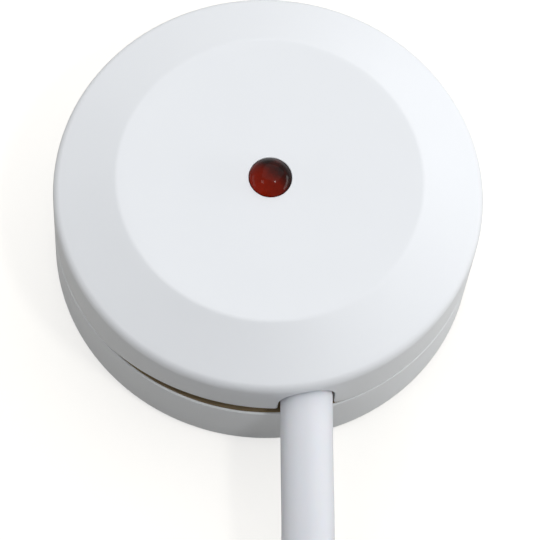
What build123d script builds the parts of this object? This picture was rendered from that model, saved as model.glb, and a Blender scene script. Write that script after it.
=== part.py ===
from build123d import *
import math
import os

# Round glass break detector that is stuck to a window pane: a two-part case on a sticky pad, with a piezo
# disc bonded to its floor, a small circuit board with a red lamp, and a four-core alarm cable on a coil.
# All sizes are in millimetres. +Z points away from the pane, and the cable leaves the case towards -Y.
# The origin is at the middle of the pad's sticky underside.

# Case
case_radius = 15.0
bevel_width = 4.35
base_height = 5.35
cover_height = 6.3
bevel_drop = 1.95
face_edge_fillet = 0.8
rim_fillet = 0.8
foot_fillet = 0.5
seam_fillet = 0.12
cover_edge_fillet = 0.1
cover_wall = 1.2
roof_thickness = 1.2
base_wall = 1.6
floor_thickness = 1.5

# Seam between the base and the cover
gasket_thickness = 0.25
gasket_setback = 0.15
gasket_clearance = 0.03
gasket_mouth = 2.4
lip_thickness = 1.0
lip_height = 2.15
lip_root = 0.55
lip_clearance = 0.1
lip_chamfer = 0.2
grip_rib_count = 6
grip_rib_radius = 0.3
grip_rib_proud = 0.08
pry_gap_height = 1.1
pry_gap_half_angle = 35.0
pry_gap_angle = -12.0

# Sticky pad
pad_radius = 12.5
pad_thickness = 0.6
pad_recess = 0.4
pad_clearance = 0.2

# Piezo disc
bond_thickness = 0.1
piezo_plate_radius = 6.0
piezo_plate_thickness = 0.2
piezo_ceramic_radius = 4.5
piezo_ceramic_thickness = 0.2
piezo_dot_radius = 0.55
piezo_dot_height = 0.3
piezo_wire_radius = 0.3
piezo_wire_clearance = 0.15
piezo_bend_share = 0.9

# Circuit board and its screws
board_thickness = 1.0
board_clearance = 0.4
boss_height = 2.3
boss_radius = 1.8
screw_edge = 2.1
screw_angles = (-50.0, 60.0, 200.0)
screw_radius = 0.85
screw_length = 3.2
screw_head_radius = 1.4
screw_head_height = 0.8
screw_hole_clearance = 0.15
screw_fit = 0.01
screw_slot_width = 0.32
screw_slot_depth = 0.4
screw_slot_length = 1.7
pilot_spare = 0.3
leg_hole_clearance = 0.05
solder_radius = 0.8
solder_rim = 0.3
solder_neck = 0.12
solder_height = 0.45
hole_clearance = 0.15

# Lamp: a 3 mm light-emitting diode on a spacer
lens_radius = 1.45
lamp_height = 5.3
lamp_flange_radius = 1.9
lamp_flange_height = 1.0
lamp_flange_flat = 0.2
lamp_proud = 0.8
lamp_hole_clearance = 0.05
lamp_hole_chamfer = 0.06
lamp_collar_wall = 0.8
lamp_collar_gap = 0.3
leg_width = 0.5
leg_spacing = 2.54
leg_below_board = 0.7
leg_step_height = 0.35
post_offset = 0.55
post_width = 0.4
post_rise = 1.1
anvil_width = 0.8
anvil_height = 0.9
anvil_gap = 0.3
cup_radius = 0.3
cup_depth = 0.25
die_size = 0.2
spacer_radius = 2.1

# Parts soldered on the board's face: a body, the span over its pins, and the pins
chip_standoff = 0.1
chip_chamfer = 0.15
pin_pitch = 1.27
pin_foot_share = 0.5
wide_pin = {"pin_width": 0.6, "pin_thickness": 0.2}
narrow_pin = {"pin_width": 0.4, "pin_thickness": 0.2}
thin_pin = {"pin_width": 0.4, "pin_thickness": 0.15}
signal_chip_sizes = {"width": 3.9, "length": 4.9, "height": 1.6, "span": 6.0, **narrow_pin}
relay_sizes = {"width": 4.4, "length": 4.3, "height": 2.1, "span": 6.8, **narrow_pin}
rectifier_sizes = {"width": 3.8, "length": 4.7, "height": 2.5, "span": 6.6, **wide_pin}
transistor_sizes = {"width": 1.3, "length": 2.9, "height": 1.1, "span": 2.4, **thin_pin}
transistor_pin_step = 0.95
tantalum_sizes = {"length": 3.2, "width": 1.6, "height": 1.6, "end_length": 0.5}
capacitor_sizes = {"length": 2.0, "width": 1.25, "height": 0.9, "end_length": 0.4}
resistor_sizes = {"length": 1.6, "width": 0.8, "height": 0.45, "end_length": 0.3}

# Room from the board's edge to the middle of the parts that stand near it
chip_edge = 5.3
relay_edge = 4.9
rectifier_edge = 4.9
tantalum_edge = 3.0
capacitor_edge = 2.7

# Cable and what holds it
cable_radius = 1.8
cable_offset = 2.7
notch_clearance = 0.15
groove_clearance = 0.1
exit_depth = 1.0
sheath_wall = 0.42
sheath_inside = 4.3
sheath_to_near_row = 2.5
sheath_to_far_row = 3.0
wide_core_step = 2.7
narrow_core_step = 0.9
core_socket = 1.8
core_gap = 0.02
core_end_height = 0.5
core_straight = 0.7
core_droop = 0.3
core_bend = 0.8
strand_radius = 0.25
strand_below_board = 0.6
tie_thickness = 0.7
tie_width = 2.2
tie_setback = 1.35
tie_head_length = 2.4
tie_head_height = 2.6
tie_head_width = 3.0
tie_head_bite = 0.3
tie_tail_length = 1.0
tie_fillet = 0.25

# Coil of cable, as it is packed
coil_gap = 0.45
coil_layers = 6
turns_per_layer = 2.5
coil_middle_radius = 19.0
coil_start = (-14.3, -39.6)
coil_start_angle = 90.0
coil_straight = 2.0
steps_per_turn = 4
climb_share = 0.25
tail_tip_length = 5.0

# Tie round the coil
coil_tie_thickness = 0.45
coil_tie_width = 3.0
coil_tie_clearance = 0.12
coil_tie_end_length = 9.0
coil_tie_end_width = 1.8
coil_tie_end_height = 0.9

# Levels, from the pane upwards
base_bottom = pad_thickness - pad_recess
seam_z = base_bottom + base_height
cover_edge_z = seam_z + gasket_thickness
top_z = cover_edge_z + cover_height
floor_z = base_bottom + floor_thickness
board_z = floor_z + boss_height
board_top = board_z + board_thickness
cable_z = board_top + tie_thickness + cable_radius
ceiling_z = top_z - roof_thickness
lamp_tip = top_z + lamp_proud
lamp_seat = lamp_tip - lamp_height
coil_z = coil_tie_thickness + coil_tie_clearance + cable_radius

# Radii that follow from the walls
face_radius = case_radius - bevel_width
cover_inner = case_radius - cover_wall
lip_outer = cover_inner - lip_clearance
lip_inner = lip_outer - lip_thickness
base_inner = case_radius - base_wall
dome_radius = (lens_radius**2 + lamp_proud**2) / (2 * lamp_proud)
board_radius = lip_inner - board_clearance
screw_circle = board_radius - screw_edge
sheath_end = lip_inner - sheath_inside
tie_front = lip_inner - tie_setback
sheath_bore = cable_radius - sheath_wall
core_radius = (sheath_bore - core_gap) / (1 + math.sqrt(2)) - core_gap / 2


def solid_of_revolution(points):
    """Turns an outline of (radius, height) points about the Z axis."""
    outline = make_face(Polyline(*[(r, 0, z) for r, z in points], close=True))
    return revolve(outline, Axis.Z)


def upright(radius, low, high, x=0.0, y=0.0):
    """A round bar that stands between two heights."""
    return Pos(x, y, low) * Cylinder(radius, high - low, align=(Align.CENTER, Align.CENTER, Align.MIN))


def block(low, high):
    """A box between two corners."""
    size = [b - a for a, b in zip(low, high)]
    return Pos(*low) * Box(*size, align=(Align.MIN, Align.MIN, Align.MIN))


def along_y(radius, y_from, y_to, x=0.0, z=0.0):
    """A round bar along Y between two places."""
    middle = (y_from + y_to) / 2
    return Pos(x, middle, z) * Rot(90, 0, 0) * Cylinder(radius, abs(y_to - y_from))


def ring_edges(part, radius, z):
    """The full circles of a part at one radius and height."""
    found = [e for e in part.edges() if e.geom_type == GeomType.CIRCLE]
    return [e for e in found if abs(e.radius - radius) < 1e-3 and abs(e.center().Z - z) < 1e-3]


def tube_along(points, radius, bends):
    """A round wire along straight runs joined by arcs."""
    path = FilletPolyline(*points, radius=bends)
    start = Plane(origin=points[0], z_dir=Vector(*points[1]) - Vector(*points[0]))
    return sweep(start * Circle(radius), path=path)


def screw_places():
    """Centres of the three board screws, as (x, y)."""
    turns = [math.radians(a) for a in screw_angles]
    return [(screw_circle * math.sin(t), screw_circle * math.cos(t)) for t in turns]


# Places on the board. The four cores are soldered in front of the lamp, the piezo wires to their right.
near_row = sheath_to_near_row - sheath_end
far_row = sheath_to_far_row - sheath_end
core_places = {
    "red": (cable_offset - wide_core_step, far_row, -1, 1),
    "yellow": (cable_offset - narrow_core_step, near_row, -1, -1),
    "blue": (cable_offset + narrow_core_step, near_row, 1, -1),
    "black": (cable_offset + wide_core_step, far_row, 1, 1),
}
piezo_places = {
    "red": ((2.2, -2.4), (7.6, far_row - 0.5)),
    "black": ((3.0, -4.3), (5.2, far_row - 2.2)),
}
chip_place = (chip_edge - board_radius, 1.4)
relay_place = (board_radius - relay_edge, 0.6)
rectifier_place = (2.2, board_radius - rectifier_edge)
tantalum_place = (-3.4, board_radius - tantalum_edge, 0)
transistor_place = (-3.0, -4.6)
capacitor_places = ((-2.4, 4.6, 0), (capacitor_edge - board_radius, -3.1, 90))
resistor_places = (
    (-5.8, -2.4, 0),
    (-5.8, -3.9, 0),
    (-5.8, -5.4, 0),
    (3.4, -2.6, 0),
    (-3.4, -2.0, 90),
    (-2.4, 6.4, 0),
)


def mounting_pad():
    """Double-sided sticky pad that holds the detector on the pane."""
    return upright(pad_radius, 0, pad_thickness)


def cable_groove(radius, y_from, y_to, up_to):
    """Channel for the cable, open at its top."""
    channel = along_y(radius, y_from, y_to, cable_offset, cable_z)
    mouth = block((cable_offset - radius, y_from, cable_z), (cable_offset + radius, y_to, up_to))
    return channel + mouth


def base_shell():
    """Lower half of the case: floor, wall, inner lip, board bosses and the cable's groove."""
    root_z = seam_z - lip_root
    shoulder_z = root_z - (base_inner - lip_inner)
    lip_top = seam_z + lip_height
    shell = solid_of_revolution([
        (0, base_bottom),
        (case_radius, base_bottom),
        (case_radius, seam_z),
        (lip_outer, seam_z),
        (lip_outer, lip_top - lip_chamfer),
        (lip_outer - lip_chamfer, lip_top),
        (lip_inner, lip_top),
        (lip_inner, root_z),
        (base_inner, shoulder_z),
        (base_inner, floor_z),
        (0, floor_z),
    ])
    shell = fillet(ring_edges(shell, case_radius, base_bottom), foot_fillet)
    shell = fillet(ring_edges(shell, case_radius, seam_z), seam_fillet)
    shell -= upright(pad_radius + pad_clearance, base_bottom - 1, base_bottom + pad_recess)
    for x, y in screw_places():
        shell += upright(boss_radius, floor_z - 0.1, board_z, x, y)
    for x, y in screw_places():
        pilot_bottom = board_top - screw_length - pilot_spare
        shell -= upright(screw_radius + screw_fit, pilot_bottom, board_z + 1, x, y)
    for k in range(grip_rib_count):
        turn = math.radians(360 * (k + 0.5) / grip_rib_count)
        reach = lip_outer + grip_rib_proud - grip_rib_radius
        rib = upright(grip_rib_radius, seam_z, lip_top - 2 * lip_chamfer)
        shell += Pos(reach * math.cos(turn), reach * math.sin(turn), 0) * rib
    groove = cable_groove(cable_radius + groove_clearance, -case_radius - 1, -lip_inner / 2, lip_top + 1)
    return shell - groove


def seam_gasket():
    """Thin sealing ring on the base's wall, open where the cable crosses it."""
    ring = upright(case_radius - gasket_setback, seam_z, cover_edge_z)
    ring -= upright(lip_outer + grip_rib_proud + gasket_clearance, seam_z - 1, cover_edge_z + 1)
    half = gasket_mouth / 2
    return ring - block((cable_offset - half, -case_radius, seam_z - 1), (cable_offset + half, 0, top_z))


def top_cover():
    """Upper half of the case: flat face, bevel, side wall, lamp hole with its collar, cable notch."""
    slope = bevel_drop / bevel_width
    drop = roof_thickness * math.hypot(1, slope)
    inner_face = face_radius - (drop - roof_thickness) / slope
    shoulder_z = top_z - drop - slope * (cover_inner - face_radius)
    shell = solid_of_revolution([
        (0, top_z),
        (face_radius, top_z),
        (case_radius, top_z - bevel_drop),
        (case_radius, cover_edge_z),
        (cover_inner, cover_edge_z),
        (cover_inner, shoulder_z),
        (inner_face, ceiling_z),
        (0, ceiling_z),
    ])
    shell = fillet(ring_edges(shell, face_radius, top_z), face_edge_fillet)
    shell = fillet(ring_edges(shell, case_radius, top_z - bevel_drop), rim_fillet)
    shell = fillet(ring_edges(shell, case_radius, cover_edge_z), cover_edge_fillet)
    hole = lens_radius + lamp_hole_clearance
    collar_bottom = lamp_seat + lamp_flange_height + lamp_collar_gap
    shell += upright(hole + lamp_collar_wall, collar_bottom, ceiling_z + 0.1)
    shell -= upright(hole, collar_bottom - 1, top_z + 1)
    shell = chamfer(ring_edges(shell, hole, top_z), lamp_hole_chamfer)
    notch = cable_radius + notch_clearance
    notch_end = -cover_inner / 2
    shell -= along_y(notch, -case_radius - 1, notch_end, cable_offset, cable_z)
    low = (cable_offset - notch, -case_radius - 1, cover_edge_z - 1)
    shell -= block(low, (cable_offset + notch, notch_end, cable_z))
    return shell - pry_wedge()


def pry_wedge():
    """Slanting cut under the cover's edge, left of the cable, that leaves a gap for a blade."""
    chord = case_radius * math.cos(math.radians(pry_gap_half_angle))
    tilt = math.degrees(math.atan2(pry_gap_height, case_radius - chord))
    size = 4 * case_radius
    slab = Box(size, size, size, align=(Align.CENTER, Align.CENTER, Align.MAX))
    place = Rot(0, 0, pry_gap_angle) * Pos(0, -chord, cover_edge_z)
    return place * Rot(-tilt, 0, 0) * slab


def piezo_bond():
    """Film of epoxy under the piezo disc."""
    return upright(piezo_plate_radius, floor_z, floor_z + bond_thickness)


def piezo_levels():
    """Heights of the brass plate's underside, the ceramic's underside and the ceramic's top."""
    plate_low = floor_z + bond_thickness
    ceramic_low = plate_low + piezo_plate_thickness
    return plate_low, ceramic_low, ceramic_low + piezo_ceramic_thickness


def piezo_plate():
    """Brass plate of the piezo disc."""
    plate_low, ceramic_low, _ = piezo_levels()
    return upright(piezo_plate_radius, plate_low, ceramic_low)


def piezo_ceramic():
    """Silvered ceramic wafer on the brass plate."""
    _, ceramic_low, ceramic_top = piezo_levels()
    return upright(piezo_ceramic_radius, ceramic_low, ceramic_top)


def piezo_seat(colour):
    """Where a piezo wire is soldered to the disc, and the height of the face under it."""
    x, y = piezo_places[colour][0]
    _, ceramic_low, ceramic_top = piezo_levels()
    on_ceramic = math.hypot(x, y) < piezo_ceramic_radius
    return x, y, ceramic_top if on_ceramic else ceramic_low


def piezo_wire(colour):
    """Thin insulated wire from the piezo disc, under the board, up through its hole."""
    x, y, seat = piezo_seat(colour)
    hole_x, hole_y = piezo_places[colour][1]
    low = seat + piezo_dot_height
    level = board_z - strand_below_board - piezo_wire_radius - piezo_wire_clearance
    end = (hole_x, hole_y, board_top + solder_height)
    points = [(x, y, low), (x, y, level), (hole_x, hole_y, level), end]
    return tube_along(points, piezo_wire_radius, piezo_bend_share * (level - low))


def leg_hole():
    """Radius of a round hole that a square leg of the lamp passes through."""
    return leg_width * math.sqrt(0.5) + leg_hole_clearance


def circuit_board():
    """Round board with holes for the screws, the lamp's legs, the cores and the piezo wires."""
    board = upright(board_radius, board_z, board_top)
    holes = [(x, y, screw_radius + screw_hole_clearance) for x, y in screw_places()]
    holes += [(s * leg_spacing / 2, 0, leg_hole()) for s in (-1, 1)]
    holes += [(x, y, strand_radius + hole_clearance) for x, y, _, _ in core_places.values()]
    holes += [(*place, piezo_wire_radius + hole_clearance) for _, place in piezo_places.values()]
    for x, y, radius in holes:
        board -= upright(radius, board_z - 1, board_top + 1, x, y)
    return board


def board_screw(x, y):
    """Self-tapping pan-head screw with a cross slot."""
    head = upright(screw_head_radius, board_top, board_top + screw_head_height, x, y)
    head = fillet(ring_edges(head, screw_head_radius, board_top + screw_head_height), screw_head_height / 2)
    slot_low = board_top + screw_head_height - screw_slot_depth
    slot = Pos(x, y, slot_low) * Box(screw_slot_length, screw_slot_width, 2 * screw_slot_depth,
                                     align=(Align.CENTER, Align.CENTER, Align.MIN))
    turned = Pos(x, y, 0) * Rot(0, 0, 90) * Pos(-x, -y, 0) * slot
    return head - slot - turned + upright(screw_radius, board_top - screw_length, board_top + 0.01, x, y)


def board_screws():
    """The three screws that hold the board on its bosses."""
    return Compound([board_screw(x, y).solid() for x, y in screw_places()])


def lamp_legs():
    """The two legs of the lamp: the cathode ends in an anvil with a cup, the anode in a plain post."""
    low = board_z - leg_below_board
    step_low = lamp_seat + leg_step_height
    step_top = step_low + leg_width
    post_top = step_top + post_rise
    half = leg_width / 2
    legs = []
    for side in (-1, 1):
        outer = leg_spacing / 2 + half
        inner = post_offset - post_width / 2
        leg = block((outer - leg_width, -half, low), (outer, half, step_top))
        leg += block((inner, -half, step_low), (outer, half, step_top))
        leg += block((inner, -half, step_low), (inner + post_width, half, post_top))
        if side < 0:
            anvil_inner = anvil_gap - post_offset
            anvil_outer = anvil_inner + anvil_width
            leg += block((anvil_inner, -half, post_top), (anvil_outer, half, post_top + anvil_height))
            cup_x = anvil_inner + anvil_width / 2
            cup_low = post_top + anvil_height - cup_depth
            leg -= Pos(cup_x, 0, cup_low) * Cone(die_size, 2 * cup_radius - die_size, 2 * cup_depth,
                                                 align=(Align.CENTER, Align.CENTER, Align.MIN))
            leg = leg.mirror(Plane.YZ)
        else:
            leg += block((inner, -half, post_top), (inner + post_width, half, post_top + anvil_height))
        legs.append(leg.solid())
    return Compound(legs)


def lamp_die():
    """Light-emitting chip in the cathode's cup."""
    post_top = lamp_seat + leg_step_height + leg_width + post_rise
    cup_x = -(anvil_gap - post_offset + anvil_width / 2)
    low = post_top + anvil_height - cup_depth
    half = die_size / 2
    return block((cup_x - half, -half, low), (cup_x + half, half, low + die_size))


def lamp_body():
    """Red epoxy body of the lamp: flange with a flat, straight wall, and a dome from the cover's face up."""
    middle_z = lamp_tip - lens_radius
    flange = upright(lamp_flange_radius, lamp_seat, lamp_seat + lamp_flange_height)
    flat_x = -lamp_flange_radius + lamp_flange_flat
    flange -= block((flat_x - 1, -3, lamp_seat - 1), (flat_x, 3, lamp_seat + lamp_flange_height + 1))
    ball = Pos(0, 0, lamp_tip - dome_radius) * Sphere(dome_radius)
    dome = upright(lens_radius, middle_z, lamp_tip) & ball
    body = flange + upright(lens_radius, lamp_seat, middle_z) + dome
    return (body - lamp_legs() - lamp_die()).solid()


def lamp_spacer():
    """Plastic stand-off between the board and the lamp."""
    spacer = upright(spacer_radius, board_top, lamp_seat)
    for side in (-1, 1):
        hole = upright(leg_hole(), board_top - 1, lamp_seat + 1)
        spacer -= Pos(side * leg_spacing / 2, 0, 0) * hole
    return spacer


def gull_pin(side, y, body_half, span_half, mid_z, width, thickness):
    """Bent pin of a chip: out of the body's side, down, and a foot on the board."""
    knee = body_half + (span_half - body_half) * pin_foot_share
    foot = board_top + thickness
    outline = [
        (body_half, mid_z),
        (knee + thickness, mid_z),
        (knee + thickness, foot),
        (span_half, foot),
        (span_half, board_top),
        (knee, board_top),
        (knee, mid_z - thickness),
        (body_half, mid_z - thickness),
    ]
    face = make_face(Polyline(*[(x, 0, z) for x, z in outline], close=True))
    pin = extrude(face, amount=width / 2, both=True)
    return Pos(0, y, 0) * (pin if side > 0 else pin.mirror(Plane.YZ))


def chip(place, right_pins, left_pins, width, length, height, span, pin_width, pin_thickness):
    """Chip in a moulded package: its body, and its pins at the listed places on the right and left."""
    x, y = place
    body = Pos(x, y, board_top + chip_standoff) * Box(width, length, height - chip_standoff,
                                                      align=(Align.CENTER, Align.CENTER, Align.MIN))
    body = chamfer(body.faces().sort_by(Axis.Z)[-1].edges(), chip_chamfer)
    mid_z = board_top + (height + pin_thickness) / 2
    pins = [Pos(x, y, 0) * gull_pin(side, at, width / 2, span / 2, mid_z, pin_width, pin_thickness).solid()
            for side, places in ((1, right_pins), (-1, left_pins)) for at in places]
    return body, Compound(pins)


def two_ended(x, y, turn, length, width, height, end_length):
    """Surface-mounted block with a metal cap at each end: the middle and the two caps."""
    place = Pos(x, y, board_top) * Rot(0, 0, turn)
    low = (Align.CENTER, Align.CENTER, Align.MIN)
    middle = place * Box(length - 2 * end_length, width, height, align=low)
    reach = (length - end_length) / 2
    ends = [place * Pos(s * reach, 0, 0) * Box(end_length, width, height, align=low) for s in (-1, 1)]
    return middle.solid(), [e.solid() for e in ends]


def group_of_two_ended(places, length, width, height, end_length):
    """Several like blocks: one compound of middles, one of end caps."""
    made = [two_ended(x, y, turn, length, width, height, end_length) for x, y, turn in places]
    return Compound([m for m, _ in made]), Compound([e for _, ends in made for e in ends])


def solder_cone(x, y, wire_radius, z, up=1):
    """Solder fillet round a wire, on the board's top, or under it where up is -1."""
    wide = max(solder_radius, wire_radius + solder_rim)
    neck = wire_radius + solder_neck
    cone = Pos(x, y, z) * Rot(0 if up > 0 else 180, 0, 0) * Cone(wide, neck, solder_height,
                                                                align=(Align.CENTER, Align.CENTER, Align.MIN))
    return cone - upright(wire_radius, z - 1, z + 1, x, y)


def solder_joints():
    """Solder on the four cores, the two piezo wires, the lamp's legs and the piezo disc."""
    joints = [solder_cone(x, y, strand_radius, board_top) for x, y, _, _ in core_places.values()]
    joints += [solder_cone(*place, piezo_wire_radius, board_top) for _, place in piezo_places.values()]
    for side in (-1, 1):
        x = side * leg_spacing / 2
        joints.append(solder_cone(x, 0, leg_width * math.sqrt(0.5), board_z, up=-1))
    for colour in piezo_places:
        x, y, seat = piezo_seat(colour)
        joints.append(upright(piezo_dot_radius, seat, seat + piezo_dot_height, x, y))
    return Compound([j.solid() for j in joints])


def core_offset(side_x, side_z):
    """Where a core lies inside the sheath, from the cable's own axis."""
    step = core_radius + core_gap / 2
    return side_x * step, side_z * step


def core_in_case(colour):
    """Insulated core from inside the sheath's end to above its hole in the board."""
    x, y, side_x, side_z = core_places[colour]
    dx, dz = core_offset(side_x, side_z)
    start_x = cable_offset + dx
    level = cable_z + dz
    points = [
        (start_x, -sheath_end - core_socket, level),
        (start_x, -sheath_end + core_straight, level),
        (x, y, level - core_droop),
        (x, y, board_top + core_end_height),
    ]
    return tube_along(points, core_radius, [core_bend, core_bend])


def core_strands():
    """Tinned copper ends of the four cores, through the board."""
    low = board_z - strand_below_board
    high = board_top + core_end_height
    return Compound([upright(strand_radius, low, high, x, y).solid() for x, y, _, _ in core_places.values()])


def cable_inlet():
    """End of the cable's sheath inside the case, hollow where the cores come out."""
    sheath = along_y(cable_radius, -case_radius + exit_depth, -sheath_end, cable_offset, cable_z)
    return sheath - along_y(sheath_bore, -sheath_end - core_socket, -sheath_end + 1, cable_offset, cable_z)


def cable_tie():
    """Cable tie round the sheath, behind the case's lip, that takes the pull on the cable."""
    back = -tie_front + tie_width
    outer = cable_radius + tie_thickness
    strap = along_y(outer, -tie_front, back, cable_offset, cable_z)
    middle = (back - tie_front) / 2
    head_right = cable_offset - cable_radius + tie_head_bite
    head = block(
        (head_right - tie_head_length, middle - tie_head_width / 2, board_top),
        (head_right, middle + tie_head_width / 2, board_top + tie_head_height),
    )
    head = fillet(head.edges().filter_by(Axis.Y), tie_fillet)
    tail = block(
        (head_right - tie_head_length / 2, middle - tie_width / 2, board_top + tie_head_height - 0.1),
        (head_right - tie_head_length / 2 + tie_thickness, middle + tie_width / 2,
         board_top + tie_head_height + tie_tail_length),
    )
    return strap + head + tail - along_y(cable_radius, -tie_front - 2, back + 2, cable_offset, cable_z)


# Route of the free cable: straight out of the case, then down to the surface in a quarter turn to the coil.
cable_route = [
    (cable_offset, -case_radius + exit_depth, cable_z),
    (cable_offset, -19.0, cable_z),
    (cable_offset + 0.1, -23.5, cable_z - 0.35),
    (cable_offset + 0.1, -28.8, 5.9),
    (cable_offset - 2.1, -33.9, 4.6),
    (cable_offset - 6.0, -37.6, 3.3),
    (cable_offset - 11.0, coil_start[1], coil_z),
    (coil_start[0] + coil_straight, coil_start[1], coil_z),
]


def route_bends(route):
    """The arc at each corner of a route: 0.45 of the shorter run over the tangent of half the turn."""
    bends = []
    for a, b, c in zip(route, route[1:], route[2:]):
        before = Vector(*b) - Vector(*a)
        after = Vector(*c) - Vector(*b)
        half_turn = math.radians(before.get_angle(after)) / 2
        bends.append(0.45 * min(before.length, after.length) / math.tan(half_turn))
    return bends


def cable_lead():
    """Free stretch of the cable, from the case to the coil."""
    bends = route_bends(cable_route)
    lead = tube_along(cable_route, cable_radius, bends)
    path = FilletPolyline(*cable_route, radius=bends)
    expected = math.pi * cable_radius**2 * path.length
    print("lead: bend radii", [round(b, 1) for b in bends], "length", round(path.length, 1))
    print("lead: volume over section times length", round(lead.volume / expected, 4))
    return lead


def coil_centre():
    """Middle of the coil, as seen from above, and the radius of its outermost turn."""
    outer = coil_middle_radius + (2 * cable_radius + coil_gap) * turns_per_layer / 2
    turn = math.radians(coil_start_angle)
    return coil_start[0] - outer * math.cos(turn), coil_start[1] - outer * math.sin(turn), outer


def coil_way(turns):
    """Level direction along the coil after a number of turns."""
    turn = math.radians(coil_start_angle) + 2 * math.pi * turns
    return Vector(-math.sin(turn), math.cos(turn), 0)


def coil_point(turns):
    """Point of the coil's middle line after a number of turns."""
    pitch = 2 * cable_radius + coil_gap
    x, y, outer = coil_centre()
    folded = turns % (2 * turns_per_layer)
    inward = min(folded, 2 * turns_per_layer - folded)
    climbed = 0.0
    for layer in range(1, coil_layers):
        share = (turns - layer * turns_per_layer) / climb_share
        climbed += (1 + math.sin(math.pi / 2 * max(-1.0, min(1.0, share)))) / 2
    radius = outer - pitch * inward
    angle = math.radians(coil_start_angle) + 2 * math.pi * turns
    return Vector(x + radius * math.cos(angle), y + radius * math.sin(angle), coil_z + pitch * climbed)


def coil_place(turns):
    """Point of the coil's middle line after a number of turns, and the unit direction there."""
    step = 1e-4
    return coil_point(turns), (coil_point(turns + step) - coil_point(turns - step)).normalized()


def biarc(start, start_way, end, end_way):
    """Two arcs that join one point and direction to another without a kink."""
    chord = end - start
    both = start_way + end_way
    spare = 2 * (1 - start_way.dot(end_way))
    reach = (-chord.dot(both) + math.sqrt(chord.dot(both) ** 2 + spare * chord.dot(chord))) / spare
    middle = (start + end) / 2 + (start_way - end_way) * (reach / 2)
    middle_way = (end - end_way * reach - start - start_way * reach).normalized()
    return [Edge.make_tangent_arc(start, start_way, middle), Edge.make_tangent_arc(middle, middle_way, end)]


def coil_line():
    """Middle line of the coil: biarcs of a quarter turn, and a short straight run at each end."""
    count = round(coil_layers * turns_per_layer * steps_per_turn)
    stations = [coil_place(k / steps_per_turn) for k in range(count + 1)]
    stations[0] = (stations[0][0], coil_way(0))
    stations[-1] = (stations[-1][0], coil_way(coil_layers * turns_per_layer))
    arcs = [Edge.make_line(stations[0][0] - stations[0][1] * coil_straight, stations[0][0])]
    for (a, a_way), (b, b_way) in zip(stations, stations[1:]):
        arcs += biarc(a, a_way, b, b_way)
    end, end_way = stations[-1]
    return arcs + [Edge.make_line(end, end + end_way * coil_straight)]


def least_gap(arcs):
    """Smallest distance between two stretches of the coil that are over half a turn apart."""
    points = [arc @ share for arc in arcs for share in (0.0, 0.25, 0.5, 0.75)]
    apart = 4 * steps_per_turn
    nearest = min((p - q).length for i, p in enumerate(points) for q in points[i + apart:])
    return nearest - 2 * cable_radius


def cable_coil():
    """The rest of the cable, wound in layers that spiral in and out, hollow at its end for the cores."""
    arcs = coil_line()
    path = Wire(arcs)
    start = Plane(origin=arcs[0] @ 0, z_dir=arcs[0] % 0)
    coil = sweep(start * Circle(cable_radius), path=path)
    expected = math.pi * cable_radius**2 * path.length
    print("coil: length", round(path.length, 1), "least gap to itself", round(least_gap(arcs), 2))
    print("coil: volume over section times length", round(coil.volume / expected, 4))
    end = Plane(origin=arcs[-1] @ 1, z_dir=(arcs[-1] % 1) * -1)
    return coil - end * Cylinder(sheath_bore, core_socket, align=(Align.CENTER, Align.CENTER, Align.MIN))


def tail_frame():
    """Frame at the cable's far end: Z along the cable, X up."""
    arcs = coil_line()
    return Plane(origin=arcs[-1] @ 1, x_dir=(0, 0, 1), z_dir=arcs[-1] % 1)


# How each bare core lies past the cable's far end: its side in the sheath, up and outwards, and how far it
# has moved outwards and down at its tip. The cores follow the coil and come to rest on the turn below.
tail_sides = {
    "red": (1, -1, 0.0, 1.3),
    "yellow": (-1, -1, 0.0, 1.3),
    "blue": (-1, 1, 0.4, 1.3),
    "black": (1, 1, 1.2, 1.3),
}
tail_angles = (19.0, 32.0, 46.0, 59.0)


def tail_points(colour):
    """Middle line of one bare core at the cable's far end, in the frame of that end."""
    side_up, side_out, shift, drop = tail_sides[colour]
    up, out = core_offset(side_up, side_out)
    _, _, outer = coil_centre()
    points = [(up, out, -core_socket), (up, out, core_straight)]
    for number, angle in enumerate(tail_angles, 1):
        share = number / len(tail_angles)
        turn = math.radians(angle)
        radius = outer + out + shift * share**2
        height = up - drop * share
        points.append((height, radius * math.cos(turn) - outer, radius * math.sin(turn) - coil_straight))
    return points


def tail_core(colour):
    """Insulated core that comes out of the cable's far end."""
    points = tail_points(colour)
    return tail_frame() * tube_along(points, core_radius, route_bends(points))


def tail_tips():
    """Tinned ends of the four bare cores."""
    tips = []
    for colour in tail_sides:
        points = tail_points(colour)
        way = (Vector(*points[-1]) - Vector(*points[-2])).normalized()
        place = tail_frame() * Plane(origin=points[-1], z_dir=way)
        low = (Align.CENTER, Align.CENTER, Align.MIN)
        tips.append((place * Cylinder(strand_radius, tail_tip_length, align=low)).solid())
    return Compound(tips)


def coil_tie():
    """Twist tie round the coil's far side: a flat loop, with its twisted ends laid on the coil."""
    x, y, outer = coil_centre()
    pitch = 2 * cable_radius + coil_gap
    height = 2 * cable_radius + pitch * (coil_layers - 1)
    width = 2 * cable_radius + pitch * (turns_per_layer - 0.5)
    middle = Pos(outer - pitch * turns_per_layer / 2 - pitch / 4, 0, coil_z - cable_radius + height / 2)
    corner = cable_radius + coil_tie_clearance
    inside = Rectangle(width + 2 * coil_tie_clearance, height + 2 * coil_tie_clearance)
    inside = fillet(inside.vertices(), corner)
    outside = offset(inside, coil_tie_thickness)
    loop = middle * Rot(90, 0, 0) * extrude(outside - inside, amount=coil_tie_width / 2, both=True)
    top = coil_z - cable_radius + height + coil_tie_clearance
    side = outer - pitch
    half = coil_tie_end_width / 2
    reach = coil_tie_width / 2 + coil_tie_end_length
    ends = block((side - half, 0, top), (side + half, reach, top + coil_tie_end_height))
    return Pos(x, y, 0) * Rot(0, 0, coil_start_angle - 180) * (loop + ends)


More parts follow.
